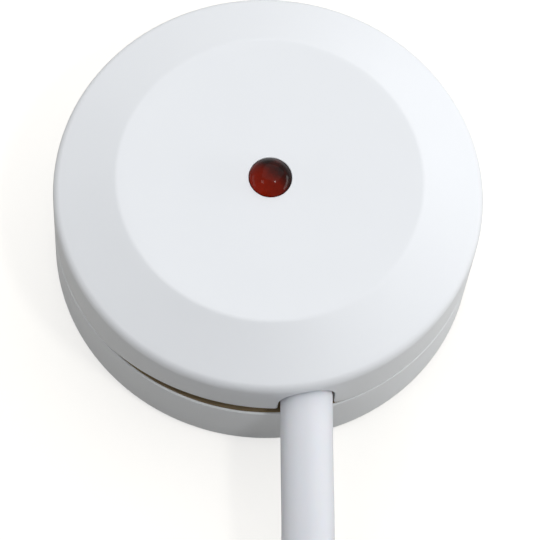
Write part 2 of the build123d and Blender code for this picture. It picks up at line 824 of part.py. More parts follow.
def electronics():
    """Chips, blocks and their metal ends on the board's top."""
    four = [pin_pitch * (k - 1.5) for k in range(4)]
    two = [-pin_pitch, pin_pitch]
    outer_two = [-transistor_pin_step, transistor_pin_step]
    nodes = {}
    chips = {
        "signal_chip": (chip_place, four, four, signal_chip_sizes),
        "alarm_relay": (relay_place, two, two, relay_sizes),
        "bridge_rectifier": (rectifier_place, two, two, rectifier_sizes),
        "transistor": (transistor_place, outer_two, [0.0], transistor_sizes),
    }
    for name, (place, right_pins, left_pins, sizes) in chips.items():
        nodes[name], nodes[name + "_pins"] = chip(place, right_pins, left_pins, **sizes)
    blocks = {
        "tantalum_capacitor": ([tantalum_place], tantalum_sizes),
        "ceramic_capacitor": (capacitor_places, capacitor_sizes),
        "resistor": (resistor_places, resistor_sizes),
    }
    for name, (places, sizes) in blocks.items():
        nodes[name + "_bodies"], nodes[name + "_ends"] = group_of_two_ended(places, **sizes)
    return nodes


def all_nodes():
    """Every node of the part, by name."""
    nodes = {
        "mounting_pad": mounting_pad(),
        "base_shell": base_shell(),
        "seam_gasket": seam_gasket(),
        "top_cover": top_cover(),
        "piezo_bond": piezo_bond(),
        "piezo_plate": piezo_plate(),
        "piezo_ceramic": piezo_ceramic(),
        "circuit_board": circuit_board(),
        "board_screws": board_screws(),
        "lamp_body": lamp_body(),
        "lamp_legs": lamp_legs(),
        "lamp_die": lamp_die(),
        "lamp_spacer": lamp_spacer(),
        "solder_joints": solder_joints(),
        "core_strands": core_strands(),
        "cable_inlet": cable_inlet(),
        "cable_tie": cable_tie(),
        "cable_lead": cable_lead(),
        "cable_coil": cable_coil(),
        "coil_tie": coil_tie(),
        "tail_tips": tail_tips(),
    }
    nodes.update(electronics())
    for colour in piezo_places:
        nodes["piezo_wire_" + colour] = piezo_wire(colour)
    for colour in core_places:
        nodes["core_" + colour] = core_in_case(colour)
        nodes["tail_" + colour] = tail_core(colour)
    return nodes


os.makedirs("parts", exist_ok=True)
for name, shape in all_nodes().items():
    export_step(shape, "parts/" + name + ".step")
print("done")
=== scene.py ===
import math

import bmesh
import bpy
import numpy as np
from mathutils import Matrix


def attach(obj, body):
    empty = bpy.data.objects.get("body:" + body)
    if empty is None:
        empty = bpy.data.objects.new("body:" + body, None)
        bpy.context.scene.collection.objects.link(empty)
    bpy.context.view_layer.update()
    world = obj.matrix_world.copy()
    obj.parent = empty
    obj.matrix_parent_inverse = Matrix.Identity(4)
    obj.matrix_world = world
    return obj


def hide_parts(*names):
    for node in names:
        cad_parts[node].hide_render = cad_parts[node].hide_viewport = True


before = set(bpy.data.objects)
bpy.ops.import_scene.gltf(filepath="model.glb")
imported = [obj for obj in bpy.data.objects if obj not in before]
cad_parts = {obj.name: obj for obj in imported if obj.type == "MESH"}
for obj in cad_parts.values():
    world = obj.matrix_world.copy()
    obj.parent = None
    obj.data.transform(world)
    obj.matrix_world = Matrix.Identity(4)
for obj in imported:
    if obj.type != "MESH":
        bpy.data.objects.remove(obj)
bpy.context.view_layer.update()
print("frame loaded with", len(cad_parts), "nodes")

mm = 0.001

# The case as it was drawn, in mm and degrees: what its pieces share. The seam is the base's upper edge and
# coverEdge the cover's lower one. Angles run from the cable's side (-Y) towards +X.
case = {
    "radius": 15.0,
    "bevelWidth": 4.35,
    "bevelDrop": 1.95,
    "faceFillet": 0.8,
    "rimFillet": 0.8,
    "wall": 1.2,
    "roof": 1.2,
    "top": 12.1,
    "coverEdge": 5.8,
    "seam": 5.55,
    "cableX": 2.7,
    "cableZ": 7.5,
    "pryAngle": -12.0,
    "pryHalfAngle": 35.0,
    "pryHeight": 1.1,
}


# The camera looks at a point inside the case from 66 degrees above the table and is rolled a little, as the
# photo is. The picture is taken as 540 x 540 pixels, and focal and targetPixel are in them.
cameraSettings = {
    "clip": (0.01, 20.0),
    "target": (0.0, 0.0, 5.2),
    "distance": 200.0,
    "azimuth": -6.0,
    "elevation": 66.2,
    "roll": 6.6,
    "focal": 2810.0,
    "targetPixel": (265.7, 217.4),
    "picture": 540.0,
    "sensor": 36.0,
}


def unit(vector):
    # vector over its own length, along the last axis
    return vector / np.linalg.norm(vector, axis=-1, keepdims=True)


def addCamera(settings):
    # back points from the target to the camera. The middle of the picture lies beside the target's pixel,
    # so the line of sight is turned from -back by those pixels over the focal length.
    turn, rise, roll = (math.radians(settings[k]) for k in ("azimuth", "elevation", "roll"))
    back = np.array([math.sin(turn) * math.cos(rise), -math.cos(turn) * math.cos(rise), math.sin(rise)])
    right = np.array([math.cos(turn), math.sin(turn), 0.0])
    upward = np.cross(back, right)
    rolledRight = math.cos(roll) * right + math.sin(roll) * upward
    rolledUp = math.cos(roll) * upward - math.sin(roll) * right
    middle = settings["picture"] / 2
    aside = (middle - settings["targetPixel"][0]) / settings["focal"]
    below = (middle - settings["targetPixel"][1]) / settings["focal"]
    sight = unit(-back + rolledRight * aside - rolledUp * below)
    cameraRight = unit(rolledRight - sight * (rolledRight @ sight))
    place = (np.array(settings["target"]) + settings["distance"] * back) * mm
    matrix = np.eye(4)
    matrix[:3, :4] = np.stack([cameraRight, np.cross(cameraRight, sight), -sight, place], -1)
    data = bpy.data.cameras.new("camera")
    data.sensor_width = settings["sensor"]
    data.lens = settings["focal"] / settings["picture"] * settings["sensor"]
    data.clip_start, data.clip_end = settings["clip"]
    camera = bpy.data.objects.new("camera", data)
    bpy.context.scene.collection.objects.link(camera)
    camera.matrix_world = matrix.T.tolist()
    bpy.context.scene.camera = camera


addCamera(cameraSettings)
print("camera placed")


def linearColour(code):
    # sRGB hex to linear light: v / 12.92 below 0.04045, else ((v + 0.055) / 1.055) ** 2.4
    parts = np.array([int(code[i:i + 2], 16) for i in (1, 3, 5)]) / 255
    return (*np.where(parts <= 0.04045, parts / 12.92, ((parts + 0.055) / 1.055) ** 2.4), 1.0)


def perMm(size):
    # scale of a pattern on Object coordinates, in metres, for one feature each so many millimetres
    return 1000.0 / size


def addNode(tree, kind, settings=None, links=None):
    # adds one node: settings go to its inputs where they have that name or number, and else to the node
    node = tree.nodes.new(kind)
    for key, value in (settings or {}).items():
        if isinstance(key, int) or key in node.inputs:
            node.inputs[key].default_value = value
        else:
            setattr(node, key, value)
    for key, socket in (links or {}).items():
        tree.links.new(socket, node.inputs[key])
    return node


blotchSize = 6.0  # mm from one slow change of a colour to the next, on every finish


def makeFinish(name, colours, grain, depth, roughness, pattern="grain", stretch=(1, 1, 1), **surface):
    # One moulded, cut or plated finish. Slow blotches mix the two colours, and the fine pattern mixes the two
    # roughnesses. Its size in mm is grain and its height depth, and stretch says how many times finer it is
    # along each axis. What surface holds goes to the shader as it is.
    material = bpy.data.materials.new(name)
    material.use_nodes = True
    tree = material.node_tree
    shader = tree.nodes["Principled BSDF"]
    place = addNode(tree, "ShaderNodeTexCoord")
    stretched = addNode(tree, "ShaderNodeMapping", {"Scale": stretch}, {"Vector": place.outputs["Object"]})
    slow = addNode(tree, "ShaderNodeTexNoise", {"Scale": perMm(blotchSize), "Detail": 2.0},
                   {"Vector": place.outputs["Object"]})
    if pattern == "cells":
        fine = addNode(tree, "ShaderNodeTexVoronoi", {"Scale": perMm(grain)},
                       {"Vector": stretched.outputs[0]})
        height = fine.outputs["Distance"]
    elif pattern == "weave":
        pitch = perMm(grain) * 2 * math.pi / 20  # a wave of scale s repeats each 2 pi / (20 s)
        across = addNode(tree, "ShaderNodeTexWave", {"Scale": pitch, "bands_direction": "X"},
                         {"Vector": stretched.outputs[0]})
        along = addNode(tree, "ShaderNodeTexWave", {"Scale": pitch, "bands_direction": "Y"},
                        {"Vector": stretched.outputs[0]})
        height = addNode(tree, "ShaderNodeMath", {"operation": "MAXIMUM"},
                         {0: across.outputs["Fac"], 1: along.outputs["Fac"]}).outputs[0]
    else:
        fine = addNode(tree, "ShaderNodeTexNoise", {"Scale": perMm(grain), "Detail": 3.0},
                       {"Vector": stretched.outputs[0]})
        height = fine.outputs["Fac"]
    colour = addNode(tree, "ShaderNodeMix", {"data_type": "RGBA", 6: linearColour(colours[0]),
                                            7: linearColour(colours[1])}, {0: slow.outputs["Fac"]})
    rough = addNode(tree, "ShaderNodeMapRange", {"To Min": roughness[0], "To Max": roughness[1]},
                    {"Value": height})
    bump = addNode(tree, "ShaderNodeBump", {"Strength": 1.0, "Distance": depth * mm}, {"Height": height})
    tree.links.new(colour.outputs[2], shader.inputs["Base Color"])
    tree.links.new(rough.outputs[0], shader.inputs["Roughness"])
    tree.links.new(bump.outputs[0], shader.inputs["Normal"])
    for key, value in surface.items():
        shader.inputs[key].default_value = value
    return material


# Each finish is named for the real material and how its surface was made; the note says what that gives.
finishes = {
    # white ABS from a spark-eroded mould: an even satin with the faintest grain, which is 0.3 mm here so that
    # it shows, and 0.05 mm in fact
    "white_abs": makeFinish("mouldedWhiteAbs", ("#eceff3", "#e9ecf0"), 0.3, 0.003, (0.46, 0.54),
                            **{"IOR": 1.53, "Specular IOR Level": 0.35}),
    # acrylic foam tape, die cut: dull charcoal with small pores on its cut edge
    "foam_tape": makeFinish("dieCutFoamTape", ("#2d2d2f", "#262628"), 0.25, 0.06, (0.75, 0.9), "cells"),
    # silicone sheet cut to a ring: matt olive brown that goes nearly black in the seam's shade
    "gasket": makeFinish("cutSilicone", ("#7d6c4f", "#6b5b41"), 0.15, 0.03, (0.8, 0.95), "cells"),
    # epoxy film squeezed out under a disc: straw yellow and glossy, with slow waves
    "epoxy_bond": makeFinish("squeezedEpoxy", ("#c9b884", "#bcaa75"), 0.8, 0.01, (0.12, 0.2)),
    # rolled brass sheet: drawn lines one way
    "brass_sheet": makeFinish("rolledBrass", ("#c9a04e", "#b88f42"), 0.2, 0.003, (0.22, 0.36),
                              stretch=(1, 12, 1), Metallic=1.0),
    # fired silver paste on ceramic: pale, matt metal
    "silvered_ceramic": makeFinish("firedSilver", ("#cfccc4", "#bdb9ae"), 0.12, 0.004, (0.45, 0.6),
                                   Metallic=0.8),
    # steel screws in clear zinc: bright, cold and a little cloudy
    "plated_screw": makeFinish("zincPlatedSteel", ("#c3c8cf", "#adb3bb"), 0.2, 0.002, (0.24, 0.36),
                               Metallic=1.0),
    # copper and brass dipped in tin: soft silver shine, rippled where the tin ran
    "tinned_metal": makeFinish("dippedTin", ("#cfd0cd", "#b9bab7"), 0.3, 0.003, (0.25, 0.4), Metallic=1.0),
    # gallium phosphide crystal, sawn: a tiny amber cube with glassy sides
    "lamp_chip": makeFinish("sawnChip", ("#bf8c33", "#a97a2b"), 0.05, 0.001, (0.15, 0.25)),
    # natural nylon from a plain mould: milky, with a waxy sheen
    "white_nylon": makeFinish("mouldedNylon", ("#e9e7df", "#e2e0d6"), 0.2, 0.002, (0.4, 0.5)),
    # solder that froze as a drop: mirror bright, broken by small frost patches
    "solder": makeFinish("reflowedSolder", ("#c7c9cb", "#aeb1b4"), 0.35, 0.006, (0.18, 0.34), Metallic=1.0),
    # plasticised PVC from a die: soft sheen, slow waves where the cores press through
    "white_pvc": makeFinish("extrudedWhitePvc", ("#dcdee4", "#d6d9df"), 0.5, 0.006, (0.5, 0.6),
                            **{"IOR": 1.54, "Specular IOR Level": 0.3, "Subsurface Weight": 0.08,
                               "Subsurface Scale": 0.0006}),
    # vinyl film laminated over a wire: black, a little creased
    "tie_vinyl": makeFinish("laminatedVinyl", ("#1d1d1f", "#151517"), 0.4, 0.01, (0.28, 0.4)),
    # silica-filled epoxy pressed into a mould: charcoal and matt, with a fine stone grain
    "black_resin": makeFinish("transferMouldedResin", ("#26272a", "#1f2023"), 0.1, 0.004, (0.55, 0.7)),
    # the same, filled white for the light path inside the relay: chalky, a little warm
    "white_resin": makeFinish("mouldedWhiteResin", ("#d9d8d2", "#cfcec7"), 0.1, 0.003, (0.45, 0.6)),
    # dyed epoxy round a tantalum block: mustard yellow, satin
    "yellow_resin": makeFinish("mouldedYellowResin", ("#d9a53a", "#cf9a31"), 0.1, 0.003, (0.4, 0.5)),
    # fired barium titanate: bare, dry and sandy brown
    "tan_ceramic": makeFinish("firedTanCeramic", ("#b08f6a", "#a4835f"), 0.12, 0.004, (0.5, 0.65)),
    # glass printed over the resistor's film and fired: black, with a wet shine
    "resistor_glaze": makeFinish("printedGlaze", ("#23252b", "#1b1d22"), 0.2, 0.002, (0.15, 0.3)),
    # thin PVC drawn over the strands: one clean colour with a soft line of light along each core
    "red_pvc": makeFinish("extrudedRedPvc", ("#c4281f", "#b5231b"), 0.4, 0.004, (0.3, 0.4)),
    "yellow_pvc": makeFinish("extrudedYellowPvc", ("#e2c32f", "#d6b628"), 0.4, 0.004, (0.3, 0.4)),
    "blue_pvc": makeFinish("extrudedBluePvc", ("#2c55a8", "#264b98"), 0.4, 0.004, (0.3, 0.4)),
    "black_pvc": makeFinish("extrudedBlackPvc", ("#232325", "#1b1b1d"), 0.4, 0.004, (0.3, 0.4)),
    # glass cloth under green solder mask: the weave shows through the gloss
    "board_laminate": makeFinish("maskedGlassCloth", ("#1f6a3c", "#185a31"), 0.5, 0.008, (0.2, 0.34),
                                 "weave"),
}


# the lens's red with painted light: dark is its painted shade, bright its painted light, side the way from
# one to the other
lensPaintedLightFinish = {
    "dark": "#1a0604",
    "bright": "#901e07",
    "side": (-0.65, -0.76, 0.0),
    "middle": 0.4,
    "reach": 1.3,
    "streak": 0.9,
    "streakShare": 0.5,
    "roughness": (0.08, 0.16),
    "ior": 1.54,
    "specular": 0.06,
}


def makeLensPaintedLightFinish(settings):
    # Red dyed epoxy, cast in a polished cup: deep and wet. Light is painted into its colour: painted shade at
    # the far right and a painted pool of light on the near left, where the lamps behind would focus through
    # the dome,
    # so the red goes from dark to bright along side. The change lies middle mm out from the lens's own line
    # and takes reach mm each way. A cast's faint streaks break it:
    # share = smoothstep(place . side) + streakShare (noise - 0.5).
    s = settings
    material = bpy.data.materials.new("castRedEpoxyWithPaintedLight")
    material.use_nodes = True
    tree = material.node_tree
    shader = tree.nodes["Principled BSDF"]
    place = addNode(tree, "ShaderNodeTexCoord")
    along = addNode(tree, "ShaderNodeVectorMath", {"operation": "DOT_PRODUCT", 1: s["side"]},
                    {0: place.outputs["Object"]})
    streaks = addNode(tree, "ShaderNodeTexNoise", {"Scale": perMm(s["streak"]), "Detail": 2.0},
                      {"Vector": place.outputs["Object"]})
    share = addNode(tree, "ShaderNodeMapRange",
                    {"From Min": (s["middle"] - s["reach"]) * mm, "From Max": (s["middle"] + s["reach"]) * mm,
                     "interpolation_type": "SMOOTHSTEP"}, {"Value": along.outputs["Value"]})
    mixed = addNode(tree, "ShaderNodeMath",
                    {"operation": "MULTIPLY_ADD", 1: s["streakShare"], 2: -s["streakShare"] / 2},
                    {0: streaks.outputs["Fac"]})
    share = addNode(tree, "ShaderNodeMath", {"operation": "ADD", "use_clamp": True},
                    {0: share.outputs[0], 1: mixed.outputs[0]})
    colour = addNode(tree, "ShaderNodeMix", {"data_type": "RGBA", 6: linearColour(s["dark"]),
                                            7: linearColour(s["bright"])}, {0: share.outputs[0]})
    rough = addNode(tree, "ShaderNodeMapRange", {"To Min": s["roughness"][0], "To Max": s["roughness"][1]},
                    {"Value": streaks.outputs["Fac"]})
    tree.links.new(colour.outputs[2], shader.inputs["Base Color"])
    tree.links.new(rough.outputs[0], shader.inputs["Roughness"])
    shader.inputs["IOR"].default_value = s["ior"]
    shader.inputs["Specular IOR Level"].default_value = s["specular"]
    return material


finishes["red_epoxy"] = makeLensPaintedLightFinish(lensPaintedLightFinish)
print("finishes made:", len(finishes))


def quadCorners(rows, columns, closedRows, closedColumns):
    # corner numbers of every quad on a grid of points, as one array
    row = np.arange(rows if closedRows else rows - 1)
    column = np.arange(columns if closedColumns else columns - 1)
    row, column = (part.ravel() for part in np.meshgrid(row, column, indexing="ij"))
    nextRow, nextColumn = (row + 1) % rows, (column + 1) % columns
    corners = (row * columns + column, row * columns + nextColumn, nextRow * columns + nextColumn,
               nextRow * columns + column)
    return np.stack(corners, -1)


# How near points lie that are joined, in mm, and from how many degrees on an edge stays sharp: on new pieces
# and on the nodes that are kept
joining = {"distance": 0.002, "sharpAngle": 32.0, "nodeDistance": 0.001, "nodeSharpAngle": 30.0}


def makePiece(name, grids, slotName, body, replaced):
    # Each grid is (points in mm as rows x columns x 3, closedRows, closedColumns). Points nearer to each
    # other than the joining distance become one, which closes poles and folded rows. Then every face is
    # turned outwards.
    points, corners, count = [], [], 0
    for grid, closedRows, closedColumns in grids:
        corners.append(quadCorners(grid.shape[0], grid.shape[1], closedRows, closedColumns) + count)
        points.append(grid.reshape(-1, 3) * mm)
        count += grid.shape[0] * grid.shape[1]
    mesh = bpy.data.meshes.new(name)
    mesh.from_pydata(np.concatenate(points).tolist(), [], np.concatenate(corners).tolist())
    work = bmesh.new()
    work.from_mesh(mesh)
    bmesh.ops.remove_doubles(work, verts=work.verts, dist=joining["distance"] * mm)
    bmesh.ops.recalc_face_normals(work, faces=work.faces)
    work.to_mesh(mesh)
    work.free()
    mesh.shade_smooth()
    mesh.set_sharp_from_angle(angle=math.radians(joining["sharpAngle"]))
    piece = bpy.data.objects.new(name, mesh)
    bpy.context.scene.collection.objects.link(piece)
    dressPiece(piece, slotName, body, replaced)
    print(name, "made:", len(mesh.polygons), "faces")
    return piece


def dressPiece(piece, slotName, body, replaced):
    # gives a new piece its finish, its body and the nodes that it stands for
    piece.data.materials.append(finishes[slotName])
    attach(piece, body)
    if replaced:
        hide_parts(*replaced)


def roundedOutline(corners, closed=False, step=9.0):
    # Corners are (x, y, radius). Each is cut back by radius / tan(half the angle between its sides) and
    # bridged by an arc about the point radius / sin(half) inwards, in steps of about so many degrees:
    # centre + (sin((1 - s) turn) (start - centre) + sin(s turn) (end - centre)) / sin(turn), with one more
    # point just outside each end.
    justOutside = 0.1
    corners = [np.array(c, float) for c in corners]
    line = [] if closed else [corners[0][:2]]
    for k in range(len(corners)) if closed else range(1, len(corners) - 1):
        corner, radius = corners[k][:2], corners[k][2]
        if radius == 0:
            line.append(corner)
            continue
        before = unit(corners[k - 1][:2] - corner)
        after = unit(corners[(k + 1) % len(corners)][:2] - corner)
        half = math.acos(float(np.clip(before @ after, -1, 1))) / 2
        turn = math.pi - 2 * half
        centre = corner + unit(before + after) * radius / math.sin(half)
        start, end = corner + before * radius / math.tan(half), corner + after * radius / math.tan(half)
        share = np.linspace(0, 1, max(3, math.ceil(math.degrees(turn) / step)) + 1)[:, None]
        arc = np.sin((1 - share) * turn) * (start - centre) + np.sin(share * turn) * (end - centre)
        arc = centre + arc / math.sin(turn)
        line += [start + before * radius * justOutside, *arc, end + after * radius * justOutside]
    if not closed:
        line.append(corners[-1][:2])
    return np.array(line)


def revolve(outline, angles):
    # each outline point (r, z) goes round the Z axis: x = r sin(angle), y = -r cos(angle)
    r, z = outline[:, 0, None], outline[:, 1, None]
    return np.stack([r * np.sin(angles), -r * np.cos(angles), z + 0 * angles], -1)


def fullTurn(count):
    # angles all the way round: 2 pi k / count
    return np.linspace(0, 2 * math.pi, count, endpoint=False)


def blend(value, low, high):
    # smooth step from 0 at low to 1 at high: 3 s^2 - 2 s^3
    share = np.clip((value - low) / (high - low), 0, 1)
    return share * share * (3 - 2 * share)


cable = {
    "radius": 1.8,
    "route": [
        (2.7, -14.0, 7.5),
        (2.7, -19.0, 7.5),
        (2.8, -23.5, 7.15),
        (2.8, -28.8, 5.9),
        (0.6, -33.9, 4.6),
        (-3.3, -37.6, 3.3),
        (-8.3, -39.6, 2.37),
    ],
    "coilStart": (-14.3, -39.6, 2.37),
    "coilStartAngle": 90.0,
    "coilOuter": 24.0625,
    "pitch": 4.05,
    "layers": 6,
    "turnsPerLayer": 2.5,
    "climbShare": 0.25,
    "pointsPerTurn": 24,
    "straightEnd": 2.0,
    "length": 1832.0,
}
coilMiddle = np.array([cable["coilStart"][0], cable["coilStart"][1] - cable["coilOuter"], 0.0])


def coilPoints(settings, turns):
    # x = cx + r cos(a), y = cy + r sin(a), a = first angle + 2 pi turns. The turns spiral in and out between
    # the outer radius and turnsPerLayer pitches less, and climb one pitch at each end of a layer on half a
    # sine. A spline of order 3 runs inside its points by cos(half a step), so the radius is larger by that.
    perLayer, pitch, outer = settings["turnsPerLayer"], settings["pitch"], settings["coilOuter"]
    folded = turns % (2 * perLayer)
    radius = outer - pitch * np.minimum(folded, 2 * perLayer - folded)
    layer = np.arange(1, settings["layers"])[:, None]
    share = np.clip((turns - layer * perLayer) / settings["climbShare"], -1, 1)
    climbed = ((1 + np.sin(math.pi / 2 * share)) / 2).sum(0)
    wide = radius / math.cos(math.pi / settings["pointsPerTurn"])
    angle = math.radians(settings["coilStartAngle"]) + 2 * math.pi * turns
    height = settings["coilStart"][2] + pitch * climbed
    return coilMiddle + np.stack([wide * np.cos(angle), wide * np.sin(angle), height], -1)


def splinePiece(name, points, radius, slotName, body, replaced, resolution=6):
    # a round cord on a NURBS spline of order 3, whose control points are the route's points in mm
    curve = bpy.data.curves.new(name, "CURVE")
    curve.dimensions = "3D"
    curve.bevel_depth = radius * mm
    curve.bevel_resolution = 6  # 16 sides round
    curve.resolution_u = resolution
    curve.use_fill_caps = True
    curve.twist_mode = "MINIMUM"
    spline = curve.splines.new("NURBS")
    spline.points.add(len(points) - 1)
    spline.points.foreach_set("co", np.column_stack([points * mm, np.ones(len(points))]).ravel())
    spline.order_u = 3
    spline.use_endpoint_u = True
    piece = bpy.data.objects.new(name, curve)
    bpy.context.scene.collection.objects.link(piece)
    dressPiece(piece, slotName, body, replaced)
    return piece


def cablePoints(settings):
    # The route, then the coil's turns, then a short straight end along -X. The last turn's point is set
    # beside the coil's start, so that the end goes on in its line.
    count = round(settings["layers"] * settings["turnsPerLayer"] * settings["pointsPerTurn"])
    turns = coilPoints(settings, np.arange(1, count + 1) / settings["pointsPerTurn"])
    turns[-1, 1] = settings["coilStart"][1]
    end = turns[-1] - [settings["straightEnd"], 0, 0]
    return np.concatenate([settings["route"], [settings["coilStart"]], turns, [end]]), end


cableRoute, cableEnd = cablePoints(cable)
alarmCable = splinePiece("alarmCable", cableRoute, cable["radius"], "white_pvc", "base",
                         ("cable_lead", "cable_coil"))
print("cable laid on", len(cableRoute), "points")

# The four bare cores at the far end. Each has its side in the sheath, up or down and out or in, and how far
# it shifts outwards at its tip.
tails = {
    "sides": {"red": (1, -1, 0.0), "yellow": (-1, -1, 0.0), "blue": (-1, 1, 0.4), "black": (1, 1, 1.2)},
    "radius": 0.553,
    "step": 0.563,
    "socket": 1.8,
    "straight": 0.7,
    "angles": (19.0, 32.0, 46.0, 59.0),
    "drop": 1.3,
}


def tailPoints(settings, sideUp, sideOut, shift):
    # A core leaves the sheath straight, then keeps beside the coil's outer turn: radius = outer + its place
    # in the sheath + shift share^2 about the coil's middle, and sinks by the drop in proportion to the share.
    rise, out = sideUp * settings["step"], sideOut * settings["step"]
    share = np.arange(1, len(settings["angles"]) + 1) / len(settings["angles"])
    angle = np.radians(settings["angles"])
    radius = cable["coilOuter"] + out + shift * share**2
    along = np.concatenate([[-settings["socket"], settings["straight"]],
                            radius * np.sin(angle) - cable["straightEnd"]])
    aside = np.concatenate([[out, out], radius * np.cos(angle) - cable["coilOuter"]])
    height = np.concatenate([[rise, rise], rise - settings["drop"] * share])
    return cableEnd + np.stack([-along, aside, height], -1)


tailPieces = [
    splinePiece("tailCore" + colour.capitalize(), tailPoints(tails, *sides), tails["radius"],
                colour + "_pvc", "base", ("tail_" + colour,), resolution=12)
    for colour, sides in tails["sides"].items()
]

# Twist tie round the coil's far side: a vinyl strip over a wire, its ends twisted and laid on the coil
coilTie = {
    "middle": (17.9875, 12.495),
    "inside": (11.94, 24.09),
    "corner": 1.92,
    "thickness": 0.45,
    "edgeThickness": 0.26,
    "width": 3.0,
    "endPlace": (20.0125, 24.54),
    "endLength": 10.5,
    "endHalf": 0.45,
    "endTurns": 3.5,
    "endStrip": (0.22, 0.12),
    "endSpread": 0.22,
    "endCap": 0.175,
    "tipSpread": 0.3,
    "tipFrom": 0.86,
    "tipFlatten": 0.55,
}


def tieLoop(settings):
    # An outline in XZ, drawn in by half the strip, carries a rounded section that is thick over its wire:
    # depth = (edge + (full - edge) cos^2 over the middle half of the width) / 2. It is worked out at the
    # coil's +X side as (away from the middle, along the turns, height) and turned to its -Y side.
    (w, h), t, edge = settings["inside"], settings["thickness"], settings["edgeThickness"]
    hw, hh, c = w / 2 + t / 2, h / 2 + t / 2, settings["corner"] + t / 2
    line = roundedOutline([(hw, -hh, c), (hw, hh, c), (-hw, hh, c), (-hw, -hh, c)], closed=True)
    way = unit(np.roll(line, -1, 0) - np.roll(line, 1, 0))
    out = np.stack([way[:, 1], -way[:, 0]], -1)
    side = fullTurn(24)
    across = np.sign(np.cos(side)) * np.abs(np.cos(side)) ** 0.6 * settings["width"] / 2
    hump = np.cos(np.clip(across / settings["width"] * 4, -1, 1) * math.pi / 2) ** 2
    deep = np.sign(np.sin(side)) * np.abs(np.sin(side)) ** 0.4 * (edge + (t - edge) * hump) / 2
    away = settings["middle"][0] + line[:, 0, None] + out[:, 0, None] * deep
    z = settings["middle"][1] + line[:, 1, None] + out[:, 1, None] * deep
    return coilMiddle + np.stack([across + 0 * away, -away, z], -1)


def tieEnds(settings):
    # Two strips wind round each other: centre = spread (cos a, sin a), a = start + 2 pi turns * share. At
    # their tips they part and lie flatter, and each strip's section shrinks to a point over its last bit.
    side, share = fullTurn(24), np.linspace(0, 1, 90)[:, None]
    opened = blend(share, settings["tipFrom"], 1.0)
    spread = settings["endSpread"] + settings["tipSpread"] * opened
    closing = np.minimum(share, 1 - share) * settings["endLength"] / settings["endCap"]
    closing = np.sqrt(np.clip(closing, 0, 1))
    halfWidth, halfThickness = settings["endStrip"]
    flat, thin = halfWidth * np.cos(side) * closing, halfThickness * np.sin(side) * closing
    away, level = settings["endPlace"]
    ends = []
    for start in (0.0, math.pi):
        turn = start + 2 * math.pi * settings["endTurns"] * share
        px = spread * np.cos(turn) + thin * np.cos(turn) - flat * np.sin(turn)
        pz = spread * np.sin(turn) * (1 - settings["tipFlatten"] * opened)
        pz = pz + thin * np.sin(turn) + flat * np.cos(turn)
        place = [settings["endLength"] * share + 0 * px, -away - px, level + settings["endHalf"] + pz]
        ends.append(coilMiddle + np.stack(place, -1))
    return ends


tieGrids = [(tieLoop(coilTie), True, True)] + [(end, False, True) for end in tieEnds(coilTie)]
coilTiePiece = makePiece("coilTwistTie", tieGrids, "tie_vinyl", "base", ("coil_tie",))


stage = {
    "floorColour": "#afaca5",
    "floorSize": 3000.0,
    "floorHeight": -0.02,
    "floorGlow": 0.68,
    "worldColour": "#ffffff",
    "worldStrength": 0.04,
    "lamps": {
        # place in mm, width and height in mm, power in W
        "overheadSoftbox": ((200.0, 500.0, 1000.0), (2000.0, 2000.0), 17.8),
        "frontSoftbox": ((299.0, -244.0, 701.0), (80.0, 80.0), 1.1),
        "leftSoftbox": ((-450.0, -217.0, 598.0), (165.0, 115.0), 0.6),
        "rightStrip": ((745.0, -20.0, 75.0), (700.0, 140.0), 2.4),
        "leftStrip": ((-750.0, 0.0, 90.0), (600.0, 160.0), 0.62),
    },
}


def addFloor(settings):
    # A pale matt table, a hair under the pad so that the two don't share a plane. To the camera it glows a
    # little as well, so that it comes out white and the object's shadow stays on it.
    half = settings["floorSize"] / 2
    corner = np.array([-half, half])
    x, y = np.meshgrid(corner, corner, indexing="ij")
    grid = np.stack([x, y, 0 * x + settings["floorHeight"]], -1)
    mesh = bpy.data.meshes.new("table")
    mesh.from_pydata((grid.reshape(-1, 3) * mm).tolist(), [], [(0, 2, 3, 1)])
    floor = bpy.data.objects.new("table", mesh)
    bpy.context.scene.collection.objects.link(floor)
    material = bpy.data.materials.new("paintedTable")
    material.use_nodes = True
    tree = material.node_tree
    tree.nodes.remove(tree.nodes["Principled BSDF"])
    matt = addNode(tree, "ShaderNodeBsdfDiffuse", {"Color": linearColour(settings["floorColour"])})
    glow = addNode(tree, "ShaderNodeEmission",
                   {"Color": linearColour(settings["worldColour"]), "Strength": settings["floorGlow"]})
    both = addNode(tree, "ShaderNodeAddShader", None, {0: matt.outputs[0], 1: glow.outputs[0]})
    ray = addNode(tree, "ShaderNodeLightPath")
    seen = addNode(tree, "ShaderNodeMath", {"operation": "MAXIMUM"},
                   {0: ray.outputs["Is Camera Ray"], 1: ray.outputs["Is Transmission Ray"]})
    mixed = addNode(tree, "ShaderNodeMixShader", None,
                    {0: seen.outputs[0], 1: matt.outputs[0], 2: both.outputs[0]})
    tree.links.new(mixed.outputs[0], tree.nodes["Material Output"].inputs["Surface"])
    mesh.materials.append(material)


def addLamp(name, place, size, power):
    # a softbox that faces the object: back = place / its length, right = up x back
    data = bpy.data.lights.new(name, "AREA")
    data.shape = "RECTANGLE"
    data.size, data.size_y = (side * mm for side in size)
    data.energy = power
    lamp = bpy.data.objects.new(name, data)
    bpy.context.scene.collection.objects.link(lamp)
    place = np.array(place)
    back = unit(place)
    right = unit(np.cross([0.0, 0.0, 1.0], back))
    matrix = np.eye(4)
    matrix[:3, :4] = np.stack([right, np.cross(back, right), back, place * mm], -1)
    lamp.matrix_world = matrix.T.tolist()


